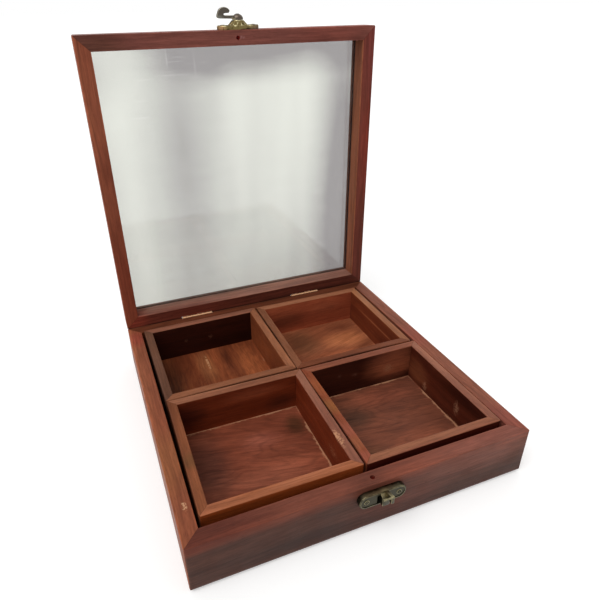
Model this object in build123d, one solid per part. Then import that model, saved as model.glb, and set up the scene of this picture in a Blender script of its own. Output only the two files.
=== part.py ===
from build123d import *

import os
from math import sqrt

# A square wooden fruit box: mitred base, hinged glass lid, four lift-out trays and a hook clasp.
# Millimetres. Origin: centre of the underside. +X right, +Y to the back, +Z up; the lid stands open.

# Base box
box_width = 203.0
box_depth = 204.0
base_height = 33.0
wall = 9.2
panel_thickness = 4.0
panel_seat = 4.0
outer_round = 3.5
joint_ease = 0.4
corner_ease = 1.2
inner_ease = 0.4

# Lid
lid_thickness = 18.0
rail = 9.2
lid_gap = 0.3
lid_open_angle = 90.0
glass_thickness = 3.0
glass_depth = 12.0
glass_seat = 4.0
glass_edge_clearance = 0.3
glass_face_clearance = 0.2

# Trays, sized to lie loose in the base: what is left over in X and Y, and the mean gap between two
tray_play_x = 4.6
tray_play_y = 5.6
tray_gap = 1.0
tray_wall = 5.4
tray_floor = 4.0
tray_proud = 1.6
tray_ease = 0.5
tray_corner_ease = 0.8
# Each hand-made tray: which pocket it lies in, its drift there as shares of the free gap in X and Y,
# its own width and depth as shares of the mean ones, and its turn in degrees
tray_shares = {
    "back_left": (-1, 1, -0.17, 1.02, 0.991, 0.986, 0.3),
    "back_right": (1, 1, -0.44, 0.63, 0.997, 0.988, -0.4),
    "front_left": (-1, -1, 0.18, 0.85, 1.007, 1.021, -0.7),
    "front_right": (1, -1, 0.24, 0.41, 1.001, 1.021, -0.1),
}

# Hinges
hinge_spacing = 93.6
hinge_length = 24.0
hinge_inset = 0.32
hinge_drop = 0.22
barrel_radius = 1.0
knuckle_count = 4
knuckle_clearance = 0.1
pin_radius = 0.5
pin_clearance = 0.05
pin_proud = 0.3
leaf_thickness = 0.7
leaf_height = 9.5
leaf_sweep_clearance = 0.25
leaf_mortise_clearance = 0.15
barrel_notch_clearance = 0.3
barrel_notch_end = 0.4
screw_spacing = 15.0
screw_height = 5.6
screw_radius = 0.9
screw_head_radius = 1.65
screw_length = 6.0
screw_clearance = 0.03
screw_slot_width = 0.4
screw_slot_depth = 0.35

# Clasp plates
clasp_centre = 1.8
clasp_width = 28.2
clasp_plate_height = 9.2
clasp_plate_thickness = 2.7
clasp_edge_ease = 0.8
clasp_lift = 5.3
nail_spacing = 20.6
nail_radius = 0.6
nail_head_radius = 1.5
nail_head_height = 0.3
nail_length = 8.0
nail_clearance = 0.03
dome_land = 0.05
boss_foot_width = 15.4
boss_foot_height = 8.8
boss_top_radius = 4.0
boss_top = 5.4

# Rivet and swinging hook
rivet_radius = 1.2
rivet_running_clearance = 0.08
rivet_foot_radius = 2.2
rivet_foot_height = 0.8
rivet_button_radius = 1.8
rivet_button_height = 0.25
hook_float = 0.15
hook_cap_radius = 3.7
hook_cap_height = 3.45
hook_cap_land = 0.5
arm_lift = 0.7
arm_thickness = 2.1
head_width = 3.0
head_rise = 6.85
head_reach = 13.8
notch_reach = 9.3
notch_mouth_reach = 5.5
notch_gap = 1.1
# The hook's outer outline, from its heel round to its beak: shares of head_reach and of head_rise
head_outline_shares = {
    "heel": (0.855, 0.08),
    "toe_bend": (0.957, 0.17),
    "toe": (1.0, 0.285),
    "brow": (0.90, 0.62),
    "brow_bend": (0.79, 0.905),
    "crown": (0.616, 1.0),
    "crown_bend": (0.457, 0.90),
    "beak": (0.362, 0.66),
}

# Catch plate with its keeper lug
catch_offset = 0.8
catch_width = 28.0
catch_height = 9.0
catch_thickness = 3.2
catch_nail_spacing = 19.3
catch_drop = 5.9
lug_height = 5.0
lug_thickness = 1.8
lug_side_clearance = 0.3
lug_top_inset = 0.6
finger_height = 1.3
finger_thickness = 0.7
finger_reach = 2.6
finger_clearance = 0.25
hood_width = 4.4
hood_proud = 2.2
hood_slope = 2.8
hood_edge_inset = 0.5
slot_width = 2.4
slot_height = 5.6
slot_drop = 0.8

# Locating holes on the meeting faces
peg_hole_radius = 1.35
peg_hole_depth = 6.0

# How far a cutting shape runs past the face that it opens
overrun = 1.0

inner_width = box_width - 2 * wall
inner_depth = box_depth - 2 * wall
front_face = -box_depth / 2
back_face = box_depth / 2
lid_low = base_height + lid_gap
lid_high = lid_low + lid_thickness
hinge_y = back_face - hinge_inset
hinge_z = base_height + lid_gap / 2 - hinge_drop
rivet_z = lid_low + clasp_lift
tray_width = (inner_width - tray_play_x - tray_gap) / 2
tray_depth = (inner_depth - tray_play_y - tray_gap) / 2
tray_height = base_height + tray_proud - panel_thickness
cap_low = boss_top + hook_float
arm_low = cap_low + arm_lift
arm_top = arm_low + arm_thickness
finger_bottom = rivet_z - notch_reach + finger_clearance
finger_top = finger_bottom + finger_height
lug_bottom = finger_top - lug_height
catch_x = clasp_centre + catch_offset
catch_z = finger_top - catch_drop

FLOOR = (Align.CENTER, Align.CENTER, Align.MIN)


def between(low, high):
    size = [h - l for l, h in zip(low, high)]
    middle = [(h + l) / 2 for l, h in zip(low, high)]
    return Pos(*middle) * Box(*size)


def rod_y(x, y, z, radius, length, end_radius=None):
    # A round bar from (x, y, z) towards +Y, or towards -Y where the length is negative
    place = Plane(origin=(x, y, z), z_dir=(0, 1 if length > 0 else -1, 0))
    if end_radius is None:
        return place * Cylinder(radius, abs(length), align=FLOOR)
    return place * Cone(radius, end_radius, abs(length), align=FLOOR)


def rod_x(x, y, z, radius, length):
    return Plane(origin=(x, y, z), z_dir=(1, 0, 0)) * Cylinder(radius, length, align=FLOOR)


def eased_block(width, depth, height, low_round, high_round, corner):
    # A block on Z = 0 with its lower and upper outline rounded and its upright corners eased
    block = Box(width, depth, height, align=FLOOR)
    block = fillet(block.faces().sort_by(Axis.Z)[0].edges(), low_round)
    block = fillet(block.faces().sort_by(Axis.Z)[-1].edges(), high_round)
    outline = extrude(RectangleRounded(width, depth, corner), height)
    return block & outline


def open_block(block, width, depth, height):
    return block - Pos(0, 0, -overrun) * Box(width, depth, height + 2 * overrun, align=FLOOR)


def ease_opening(frame, radius, top):
    face = frame.faces().sort_by(Axis.Z)[-1 if top else 0]
    return fillet(face.inner_wires()[0].edges(), radius)


def mitre_cut(frame, side, width, depth, bar, low, high):
    # The part of a frame that one side owns, cut at 45 degrees at its corners
    long, deep = (width, depth) if side in ("front", "back") else (depth, width)
    outline = Polyline(
        (-long / 2, -deep / 2),
        (long / 2, -deep / 2),
        (long / 2 - bar, bar - deep / 2),
        (bar - long / 2, bar - deep / 2),
        close=True,
    )
    turn = {"front": 0, "right": 90, "back": 180, "left": 270}[side]
    wedge = Pos(0, 0, low) * extrude(make_face(outline), high - low)
    return frame & (Rot(0, 0, turn) * wedge)


def oblong(width, height, thickness, ease):
    # A flat plate with round ends, lying on the XY plane, its upper edge eased
    plate = extrude(SlotOverall(width, height), thickness)
    return fillet(plate.faces().sort_by(Axis.Z)[-1].edges(), ease)


def on_front(shape, x, z):
    # Stands a shape made on the XY plane against the front face, its +Z pointing out of the box
    return Plane(origin=(x, front_face, z), x_dir=(1, 0, 0), z_dir=(0, -1, 0)) * shape


def swing_open(shape):
    return shape.rotate(Axis((0, hinge_y, hinge_z), (1, 0, 0)), -lid_open_angle)


def knuckle_span(index):
    pitch = hinge_length / knuckle_count
    return index * pitch + knuckle_clearance / 2, pitch - knuckle_clearance


def hinge_leaf(centre, direction, own):
    # direction is -1 for the leaf on the base and +1 for the leaf on the lid
    start = centre - hinge_length / 2
    near = hinge_y - barrel_radius
    levels = sorted((hinge_z, hinge_z + direction * leaf_height))
    leaf = between((start, near, levels[0]), (start + hinge_length, near + leaf_thickness, levels[1]))
    leaf -= rod_x(start - overrun, hinge_y, hinge_z, pin_radius + pin_clearance, hinge_length + 2 * overrun)
    for index in range(knuckle_count):
        offset, length = knuckle_span(index)
        if index % 2 == own:
            leaf += rod_x(start + offset, hinge_y, hinge_z, barrel_radius, length)
        else:
            gap = knuckle_clearance
            clear = barrel_radius + leaf_sweep_clearance
            leaf -= rod_x(start + offset - gap, hinge_y, hinge_z, clear, length + 2 * gap)
    leaf -= rod_x(start - overrun, hinge_y, hinge_z, pin_radius + pin_clearance, hinge_length + 2 * overrun)
    for x, z in screw_places(centre, direction):
        leaf -= rod_y(
            x,
            near + leaf_thickness,
            z,
            screw_head_radius + screw_clearance,
            -leaf_thickness,
            screw_radius + screw_clearance,
        )
    return leaf


def screw_places(centre, direction):
    z = hinge_z + direction * screw_height
    return [(centre - screw_spacing / 2, z), (centre + screw_spacing / 2, z)]


def hinge_screw(x, z):
    outside = hinge_y - barrel_radius + leaf_thickness
    inside = outside - leaf_thickness
    screw = rod_y(x, outside, z, screw_head_radius, -leaf_thickness, screw_radius)
    screw += rod_y(x, inside, z, screw_radius, -screw_length)
    half = screw_head_radius + overrun
    return screw - between(
        (x - half, outside - screw_slot_depth, z - screw_slot_width / 2),
        (x + half, outside + overrun, z + screw_slot_width / 2),
    )


def hinge_relief(centre, direction):
    # What one hinge takes out of the wood on its side of the joint: leaf mortise, barrel notch, pilots
    length = hinge_length + 2 * leaf_mortise_clearance
    reach = leaf_height + leaf_mortise_clearance
    levels = sorted((hinge_z, hinge_z + direction * reach))
    near = hinge_y - barrel_radius
    relief = between(
        (centre - length / 2, near, levels[0]), (centre + length / 2, back_face + overrun, levels[1])
    )
    notch = hinge_length + 2 * barrel_notch_end
    relief += rod_x(centre - notch / 2, hinge_y, hinge_z, barrel_radius + barrel_notch_clearance, notch)
    for x, z in screw_places(centre, direction):
        relief += rod_y(x, near, z, screw_radius + screw_clearance, -screw_length - screw_clearance)
    return relief


def nail_hole(x, z):
    return rod_y(x, front_face, z, nail_radius + nail_clearance, nail_length + nail_clearance)


def nail(x, z, plate_thickness):
    face = front_face - plate_thickness
    head = on_front(Cylinder(nail_head_radius, nail_head_height, align=FLOOR), x, z)
    head = fillet(head.faces().sort_by(Axis.Y)[0].edges(), nail_head_height - dome_land)
    return Pos(0, -plate_thickness, 0) * head + rod_y(x, face, z, nail_radius, plate_thickness + nail_length)


def plate_nails(centre, z, spacing, thickness):
    return [nail(centre - spacing / 2, z, thickness), nail(centre + spacing / 2, z, thickness)]


def base_walls():
    frame = eased_block(box_width, box_depth, base_height, outer_round, joint_ease, corner_ease)
    frame = open_block(frame, inner_width, inner_depth, base_height)
    frame = ease_opening(frame, inner_ease, True)
    seat = (inner_width + 2 * panel_seat, inner_depth + 2 * panel_seat)
    frame -= Pos(0, 0, -overrun) * Box(*seat, panel_thickness + overrun, align=FLOOR)
    for centre in (-hinge_spacing / 2, hinge_spacing / 2):
        frame -= hinge_relief(centre, -1)
    for side in (-1, 1):
        frame -= nail_hole(catch_x + side * catch_nail_spacing / 2, catch_z)
    hole = Cylinder(peg_hole_radius, peg_hole_depth + overrun, align=FLOOR)
    frame -= Pos(0, front_face + wall / 2, base_height - peg_hole_depth) * hole
    return {
        f"base_{side}_wall": mitre_cut(frame, side, box_width, box_depth, wall, 0, base_height)
        for side in ("front", "back", "left", "right")
    }


def base_panel():
    return Box(inner_width + 2 * panel_seat, inner_depth + 2 * panel_seat, panel_thickness, align=FLOOR)


def lid_rails():
    frame = eased_block(box_width, box_depth, lid_thickness, joint_ease, outer_round, corner_ease)
    opening = (box_width - 2 * rail, box_depth - 2 * rail)
    frame = open_block(frame, *opening, lid_thickness)
    frame = ease_opening(frame, inner_ease, False)
    frame = ease_opening(frame, inner_ease, True)
    groove = glass_thickness + glass_face_clearance
    frame -= Pos(0, 0, glass_depth) * Box(
        opening[0] + 2 * glass_seat, opening[1] + 2 * glass_seat, groove, align=FLOOR
    )
    frame = Pos(0, 0, lid_low) * frame
    for centre in (-hinge_spacing / 2, hinge_spacing / 2):
        frame -= hinge_relief(centre, 1)
    for side in (-1, 1):
        frame -= nail_hole(clasp_centre + side * nail_spacing / 2, rivet_z)
    hole = Cylinder(peg_hole_radius, peg_hole_depth + overrun, align=FLOOR)
    frame -= Pos(0, front_face + rail / 2, lid_low - overrun) * hole
    return {
        f"lid_{side}_rail": mitre_cut(frame, side, box_width, box_depth, rail, lid_low, lid_high)
        for side in ("front", "back", "left", "right")
    }


def lid_glass():
    reach = 2 * (glass_seat - glass_edge_clearance)
    sheet = Box(box_width - 2 * rail + reach, box_depth - 2 * rail + reach, glass_thickness, align=FLOOR)
    return Pos(0, 0, lid_low + glass_depth) * sheet


def tray(name):
    # One tray: four mitred walls round a floor that is let in flush with their lower edges
    across, along, drift_x, drift_y, width_share, depth_share, turn = tray_shares[name]
    width, depth = tray_width * width_share, tray_depth * depth_share
    block = eased_block(width, depth, tray_height, tray_ease, tray_ease, tray_corner_ease)
    inside = (width - 2 * tray_wall, depth - 2 * tray_wall)
    frame = ease_opening(open_block(block, *inside, tray_height), tray_ease, True)
    pieces = {
        f"{name}_tray_{side}_wall": mitre_cut(frame, side, width, depth, tray_wall, 0, tray_height)
        for side in ("front", "back", "left", "right")
    }
    pieces[f"{name}_tray_floor"] = Box(*inside, tray_floor, align=FLOOR)
    x = across * (tray_width + tray_gap) / 2 + drift_x * tray_play_x / 2
    y = along * (tray_depth + tray_gap) / 2 + drift_y * tray_play_y / 2
    place = Pos(x, y, panel_thickness) * Rot(0, 0, turn)
    return {key: place * piece for key, piece in pieces.items()}


def hinge(name, centre):
    start = centre - hinge_length / 2 - pin_proud
    return {
        f"{name}_hinge_base_leaf": hinge_leaf(centre, -1, 0),
        f"{name}_hinge_lid_leaf": swing_open(hinge_leaf(centre, 1, 1)),
        f"{name}_hinge_pin": rod_x(start, hinge_y, hinge_z, pin_radius, hinge_length + 2 * pin_proud),
    }


def lid_plate():
    # Oblong plate with a tapering boss that carries the hook clear of the lid
    plate = oblong(clasp_width, clasp_plate_height, clasp_plate_thickness, clasp_edge_ease)
    root = clasp_plate_thickness - clasp_edge_ease
    foot = Pos(0, 0, root) * Ellipse(boss_foot_width / 2, boss_foot_height / 2)
    top = Pos(0, 0, boss_top) * Circle(boss_top_radius)
    plate += loft([foot.face(), top.face()])
    plate -= Cylinder(rivet_radius + nail_clearance, boss_top + overrun, align=FLOOR)
    foot_pocket = rivet_foot_radius + nail_clearance
    plate -= Cylinder(foot_pocket, rivet_foot_height, align=FLOOR)
    for side in (-1, 1):
        hole = Cylinder(nail_radius + nail_clearance, clasp_plate_thickness, align=FLOOR)
        plate -= Pos(side * nail_spacing / 2, 0, 0) * hole
    return on_front(plate, clasp_centre, rivet_z)


def clasp_rivet():
    cap_top = cap_low + hook_cap_height
    button_low = cap_top + hook_float
    shape = Cylinder(rivet_foot_radius, rivet_foot_height, align=FLOOR)
    shape += Cylinder(rivet_radius, button_low + rivet_button_height, align=FLOOR)
    button = Cylinder(rivet_button_radius, rivet_button_height, align=FLOOR)
    button = fillet(button.faces().sort_by(Axis.Z)[-1].edges(), rivet_button_height - dome_land)
    return on_front(shape + Pos(0, 0, button_low) * button, clasp_centre, rivet_z)


def hook_outline():
    # The arm and its beaked head from the side: X along the arm, Y outwards from the lid
    low = arm_low
    beak_low = arm_top + notch_gap
    round_reach = notch_reach - notch_gap / 2
    outer = {
        name: Vector(reach_share * head_reach, low + rise_share * head_rise)
        for name, (reach_share, rise_share) in head_outline_shares.items()
    }
    start_low = Vector(0, low)
    start_high = Vector(0, arm_top)
    mouth = Vector(notch_mouth_reach, beak_low)
    inner_low = Vector(round_reach, arm_top)
    inner_high = Vector(round_reach, beak_low)
    inner_bend = Vector(notch_reach, (arm_top + beak_low) / 2)
    lines = [
        Line(start_low, outer["heel"]),
        ThreePointArc(outer["heel"], outer["toe_bend"], outer["toe"]),
        Line(outer["toe"], outer["brow"]),
        ThreePointArc(outer["brow"], outer["brow_bend"], outer["crown"]),
        ThreePointArc(outer["crown"], outer["crown_bend"], outer["beak"]),
        Line(outer["beak"], mouth),
        Line(mouth, inner_high),
        ThreePointArc(inner_high, inner_bend, inner_low),
        Line(inner_low, start_high),
        Line(start_high, start_low),
    ]
    return make_face(lines)


def clasp_hook():
    # Made with its arm along -X and its pivot on the Z axis, then stood on the lid's front face
    side = extrude(hook_outline(), head_width / 2, both=True)
    body = Plane(origin=(0, 0, 0), x_dir=(-1, 0, 0), z_dir=(0, 1, 0)) * side
    cap = Cylinder(hook_cap_radius, hook_cap_height, align=FLOOR)
    cap = fillet(cap.faces().sort_by(Axis.Z)[-1].edges(), hook_cap_height - hook_cap_land)
    body += Pos(0, 0, cap_low) * cap
    bore = rivet_radius + rivet_running_clearance
    body -= Cylinder(bore, cap_low + hook_cap_height + overrun, align=FLOOR)
    return on_front(body, clasp_centre, rivet_z)


def catch_plate():
    plate = oblong(catch_width, catch_height, catch_thickness, clasp_edge_ease)
    for side in (-1, 1):
        hole = Cylinder(nail_radius + nail_clearance, catch_thickness, align=FLOOR)
        plate -= Pos(side * catch_nail_spacing / 2, 0, 0) * hole
    plate = on_front(plate, catch_x, catch_z)
    stem_x = clasp_centre + head_width / 2 + lug_side_clearance
    finger_low = arm_top + (notch_gap - finger_thickness) / 2
    finger_high = finger_low + finger_thickness
    plate_top = catch_z + catch_height / 2
    side = Polyline(
        (catch_thickness / 2, lug_bottom),
        (catch_thickness / 2, plate_top - lug_top_inset),
        (catch_thickness, plate_top - lug_top_inset),
        (finger_low, finger_top),
        (finger_high, finger_top),
        (finger_high, lug_bottom),
        close=True,
    )
    lug_plane = Plane(origin=(stem_x, front_face, 0), x_dir=(0, -1, 0), z_dir=(-1, 0, 0))
    lug = extrude(lug_plane * make_face(side), -lug_thickness)
    finger = between(
        (clasp_centre - finger_reach, front_face - finger_high, finger_bottom),
        (stem_x + lug_thickness / 2, front_face - finger_low, finger_top),
    )
    hood_right = stem_x + lug_thickness
    hood_left = hood_right - hood_width
    hood_out = catch_thickness + hood_proud
    hood_low = catch_z - catch_height / 2 + hood_edge_inset
    hood_high = plate_top - hood_edge_inset
    hood_side = Polyline(
        (catch_thickness / 2, hood_low),
        (catch_thickness / 2, hood_high),
        (catch_thickness, hood_high),
        (hood_out, hood_high - hood_slope),
        (hood_out, hood_low),
        close=True,
    )
    hood_plane = Plane(origin=(hood_left, front_face, 0), x_dir=(0, -1, 0), z_dir=(-1, 0, 0))
    hood = extrude(hood_plane * make_face(hood_side), -hood_width)
    slot_z = catch_z - slot_drop
    slot = between(
        (hood_left - slot_width, front_face - catch_thickness - overrun, slot_z - slot_height / 2),
        (hood_left, front_face + overrun, slot_z + slot_height / 2),
    )
    return plate - slot + hood + lug + finger


def save(name, shape):
    solids = shape if isinstance(shape, list) else [shape]
    solids = [piece for item in solids for piece in item.solids()]
    export_step(solids[0] if len(solids) == 1 else Compound(children=solids), f"parts/{name}.step")


def build():
    pieces = dict(base_walls())
    pieces["base_bottom_panel"] = base_panel()
    for name, piece in {**lid_rails(), "lid_glass": lid_glass()}.items():
        pieces[name] = swing_open(piece)
    for name in tray_shares:
        pieces.update(tray(name))
    centres = {"left": -hinge_spacing / 2, "right": hinge_spacing / 2}
    for name, centre in centres.items():
        pieces.update(hinge(name, centre))
    for part, direction in (("base", -1), ("lid", 1)):
        screws = [hinge_screw(x, z) for centre in centres.values() for x, z in screw_places(centre, direction)]
        pieces[f"hinge_{part}_screws"] = screws if part == "base" else [swing_open(s) for s in screws]
    pieces["clasp_lid_plate"] = swing_open(lid_plate())
    pieces["clasp_rivet"] = swing_open(clasp_rivet())
    pieces["clasp_hook"] = swing_open(clasp_hook())
    lid_nails = plate_nails(clasp_centre, rivet_z, nail_spacing, clasp_plate_thickness)
    pieces["clasp_lid_nails"] = [swing_open(piece) for piece in lid_nails]
    pieces["clasp_catch_plate"] = catch_plate()
    pieces["clasp_catch_nails"] = plate_nails(catch_x, catch_z, catch_nail_spacing, catch_thickness)
    return pieces


os.makedirs("parts", exist_ok=True)
for node, shape in build().items():
    save(node, shape)
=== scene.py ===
import bmesh
import bpy
import math
from mathutils import Euler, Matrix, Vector


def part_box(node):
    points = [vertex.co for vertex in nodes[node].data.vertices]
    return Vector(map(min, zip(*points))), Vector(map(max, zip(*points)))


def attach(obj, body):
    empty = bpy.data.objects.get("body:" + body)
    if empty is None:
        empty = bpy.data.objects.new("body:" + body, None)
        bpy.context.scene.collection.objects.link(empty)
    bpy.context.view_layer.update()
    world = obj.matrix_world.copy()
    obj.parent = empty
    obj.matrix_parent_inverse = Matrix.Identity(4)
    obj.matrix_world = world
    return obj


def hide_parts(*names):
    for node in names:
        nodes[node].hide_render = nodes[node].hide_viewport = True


# A square hardwood fruit box with a glazed lid, four loose trays and an antique brass clasp
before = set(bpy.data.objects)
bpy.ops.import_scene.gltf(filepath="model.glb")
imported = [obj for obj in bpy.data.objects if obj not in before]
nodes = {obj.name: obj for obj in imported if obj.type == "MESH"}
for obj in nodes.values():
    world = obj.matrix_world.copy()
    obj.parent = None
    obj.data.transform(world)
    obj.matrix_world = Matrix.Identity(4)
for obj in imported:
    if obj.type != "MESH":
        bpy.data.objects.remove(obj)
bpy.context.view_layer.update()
mm = 0.001
print("frame loaded:", len(nodes), "nodes")


# Camera at the photograph's place
cameraValues = {
    "place": (-0.11159, -0.26493, 0.25185),
    "turnDegrees": (60.8526, 0.8721, -21.6403),
    "lens": 31.75,
    "sensor": 36.0,
    "shift": (0.02268, -0.00498),
    "nearest": 0.01,
}


def makeCamera(values):
    data = bpy.data.cameras.new("camera")
    data.lens = values["lens"]
    data.sensor_width = values["sensor"]
    data.shift_x, data.shift_y = values["shift"]
    data.clip_start = values["nearest"]
    camera = bpy.data.objects.new("camera", data)
    camera.location = values["place"]
    camera.rotation_euler = [math.radians(angle) for angle in values["turnDegrees"]]
    bpy.context.scene.collection.objects.link(camera)
    bpy.context.scene.camera = camera


makeCamera(cameraValues)


# Small helpers for node trees. A value is plain, or another node's output to link
def fill(tree, node, values):
    for name, value in values.items():
        if isinstance(value, bpy.types.NodeSocket):
            tree.links.new(value, node.inputs[name])
        else:
            node.inputs[name].default_value = value
    return node


def put(tree, kind, values=None, **settings):
    node = tree.nodes.new("ShaderNode" + kind)
    for name, value in settings.items():
        setattr(node, name, value)
    return fill(tree, node, values or {})


def calc(tree, operation, *values, clamp=False):
    return put(tree, "Math", dict(enumerate(values)), operation=operation, use_clamp=clamp).outputs[0]


def times(tree, first, second):
    return calc(tree, "MULTIPLY", first, second)


def vectorCalc(tree, operation, *values):
    return put(tree, "VectorMath", dict(enumerate(values)), operation=operation).outputs[0]


def axesOf(tree, vector):
    return put(tree, "SeparateXYZ", {"Vector": vector}).outputs


def mixColour(tree, factor, first, second, mode="MIX"):
    # The colours of a Mix node are its sockets 6 and 7
    return put(tree, "Mix", {0: factor, 6: first, 7: second}, data_type="RGBA", blend_type=mode).outputs[2]


def coated(tree, body, coat, mask, strength):
    # The body's colour with a coat over it where the mask is
    return mixColour(tree, times(tree, mask, strength), body, coat)


def ease(tree, value, low, high, toLow=0.0, toHigh=1.0):
    # A soft step from toLow to toHigh as value goes from low to high
    values = {"Value": value, "From Min": low, "From Max": high, "To Min": toLow, "To Max": toHigh}
    return put(tree, "MapRange", values, interpolation_type="SMOOTHSTEP").outputs[0]


def fadeOut(tree, distance, width):
    # 1 at no distance, and 0 from the width on
    return calc(tree, "SUBTRACT", 1.0, calc(tree, "DIVIDE", distance, width), clamp=True)


def noise(tree, vector, scale, detail=2.0, roughness=0.5):
    values = {"Vector": vector, "Scale": scale, "Detail": detail, "Roughness": roughness}
    return put(tree, "TexNoise", values).outputs[0]


def drawnNoise(tree, vector, scales, detail, roughness=0.5):
    # Noise with a scale for each axis, so that it is drawn out along one of them
    return noise(tree, vectorCalc(tree, "MULTIPLY", vector, scales), 1.0, detail, roughness)


def offMiddle(tree, noisy, amount):
    # How far a noise is from its middle, times the amount
    return times(tree, calc(tree, "SUBTRACT", noisy, 0.5), amount)


def mapped(tree, vector, shift, turn):
    return put(tree, "Mapping", {"Vector": vector, "Location": shift, "Rotation": turn}).outputs[0]


def bumped(tree, height, strength, depth):
    return put(tree, "Bump", {"Height": height, "Strength": strength, "Distance": depth}).outputs[0]


zero = (0, 0, 0)


def newGroup(name, inputs, *outputs):
    # Every group has a Vector. Its other inputs are numbers, vectors of three or colours of four
    group = bpy.data.node_groups.new(name, "ShaderNodeTree")
    for label, value in {"Vector": zero, **inputs}.items():
        kind = {3: "Vector", 4: "Color"}[len(value)] if isinstance(value, tuple) else "Float"
        socket = group.interface.new_socket(name=label, in_out="INPUT", socket_type="NodeSocket" + kind)
        socket.default_value = value
    for label in outputs:
        kind = "Color" if label == "Color" else "Float"
        group.interface.new_socket(name=label, in_out="OUTPUT", socket_type="NodeSocket" + kind)
    return group, group.nodes.new("NodeGroupInput").outputs, group.nodes.new("NodeGroupOutput")


def useGroup(tree, group, values):
    return put(tree, "Group", values, node_tree=group).outputs


def spotMask(tree, group, centre, reach, values):
    # A group's mask round one place, whose centre and reach are in millimetres of the whole object
    spot = {"Centre": [value * mm for value in centre], "Reach": [value * mm for value in reach]}
    return useGroup(tree, group, {**values, **spot})["Mask"]


def newMaterial(name):
    material = bpy.data.materials.new(name)
    material.use_nodes = True
    tree = material.node_tree
    return material, tree, tree.nodes["Principled BSDF"]


def dress(piece, material):
    piece.data.materials.clear()
    piece.data.materials.append(material)


def colour(red, green, blue):
    # A screen colour of 0 to 255 as the linear colour that a shader takes
    def linear(value):
        share = value / 255
        return share / 12.92 if share <= 0.04045 else ((share + 0.055) / 1.055) ** 2.4
    return (linear(red), linear(green), linear(blue), 1.0)


# Node group: the figure, streaks, fibres and pores of one board, with its grain along X
grainValues = {
    "bendScale": 11.0, "veinScale": 2.6, "driftScale": 0.55, "ringScale": 0.42, "ringCount": 26.0,
    "lines": (1.6, 9.0, 9.0), "fibres": (90.0, 1500.0, 1500.0), "fibreShades": (0.84, 1.16),
    "pores": (260.0, 2900.0, 2900.0), "poreTone": 0.4, "glossScale": 60.0, "roughness": (0.4, 0.56),
    "fibreHeight": 0.35, "poreDepth": 0.6,
}


def makeBoardGroup(values):
    group, given, result = newGroup("boardFinish", {
        "Light": (0.3, 0.12, 0.06, 1), "Mid": (0.15, 0.05, 0.025, 1), "Dark": (0.05, 0.015, 0.01, 1),
        "Figure": 60.0, "Stretch": 0.1, "Wander": 0.006, "Streaks": 0.5, "Rings": 0.2, "Contrast": 0.2,
    }, "Color", "Roughness", "Height")
    # The grain wanders a little and is drawn out along X
    bend = offMiddle(group, noise(group, given["Vector"], values["bendScale"]), given["Wander"])
    sway = put(group, "CombineXYZ", {"Y": bend, "Z": bend}).outputs[0]
    bent = vectorCalc(group, "ADD", given["Vector"], sway)
    along = times(group, given["Figure"], given["Stretch"])
    scale = put(group, "CombineXYZ", {"X": along, "Y": given["Figure"], "Z": given["Figure"]}).outputs[0]
    run = vectorCalc(group, "MULTIPLY", bent, scale)
    body = mixColour(group, ease(group, noise(group, run, 1.0, 4.0, 0.6), 0.34, 0.64), given["Light"], given["Mid"])
    # Dark veins that come and go, and growth rings
    veins = ease(group, noise(group, run, values["veinScale"], 5.0, 0.7), 0.49, 0.68)
    drift = ease(group, noise(group, run, values["driftScale"], 2.0), 0.38, 0.6)
    body = coated(group, body, given["Dark"], times(group, veins, drift), given["Streaks"])
    rings = times(group, noise(group, run, values["ringScale"], 3.0, 0.55), values["ringCount"])
    rings = ease(group, calc(group, "PINGPONG", rings, 0.5), 0.02, 0.3, 1.0, 0.0)
    body = coated(group, body, given["Dark"], rings, given["Rings"])
    # Fine lines, fibres and pores
    low, high = (calc(group, kind, 1.0, given["Contrast"]) for kind in ("SUBTRACT", "ADD"))
    shade = put(group, "MapRange", {
        "Value": drawnNoise(group, run, values["lines"], 3.0, 0.65), "From Min": 0.34, "From Max": 0.66,
        "To Min": low, "To Max": high,
    }).outputs[0]
    body = mixColour(group, 1.0, body, shade, "MULTIPLY")
    fibre = drawnNoise(group, bent, values["fibres"], 3.0, 0.6)
    body = mixColour(group, 1.0, body, ease(group, fibre, 0.25, 0.75, *values["fibreShades"]), "MULTIPLY")
    pore = ease(group, drawnNoise(group, bent, values["pores"], 1.0), 0.62, 0.72)
    gloss = noise(group, given["Vector"], values["glossScale"], 3.0)
    rise, dip = times(group, fibre, values["fibreHeight"]), times(group, pore, values["poreDepth"])
    fill(group, result, {
        "Color": coated(group, body, given["Dark"], pore, values["poreTone"]),
        "Roughness": ease(group, gloss, 0.3, 0.7, *values["roughness"]), "Height": calc(group, "SUBTRACT", rise, dip),
    })
    return group


def farFrom(group, given):
    # How far a point is from the centre, as a share of the reach
    away = vectorCalc(group, "DIVIDE", vectorCalc(group, "SUBTRACT", given["Vector"], given["Centre"]), given["Reach"])
    return put(group, "VectorMath", {0: away}, operation="LENGTH").outputs["Value"]


# Node group: a soft patch round one place, its border broken up along the grain
def makePatchGroup():
    group, given, result = newGroup("colourPatch", {
        "Fibres": zero, "Centre": zero, "Reach": (0.02, 0.01, 0.01), "Rough": 0.6, "Core": 0.2,
    }, "Mask")
    broken = drawnNoise(group, given["Fibres"], (25.0, 150.0, 150.0), 4.0, 0.65)
    far = calc(group, "ADD", farFrom(group, given), offMiddle(group, broken, given["Rough"]))
    fill(group, result, {"Mask": ease(group, far, given["Core"], 1.1, 1.0, 0.0)})
    return group


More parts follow.
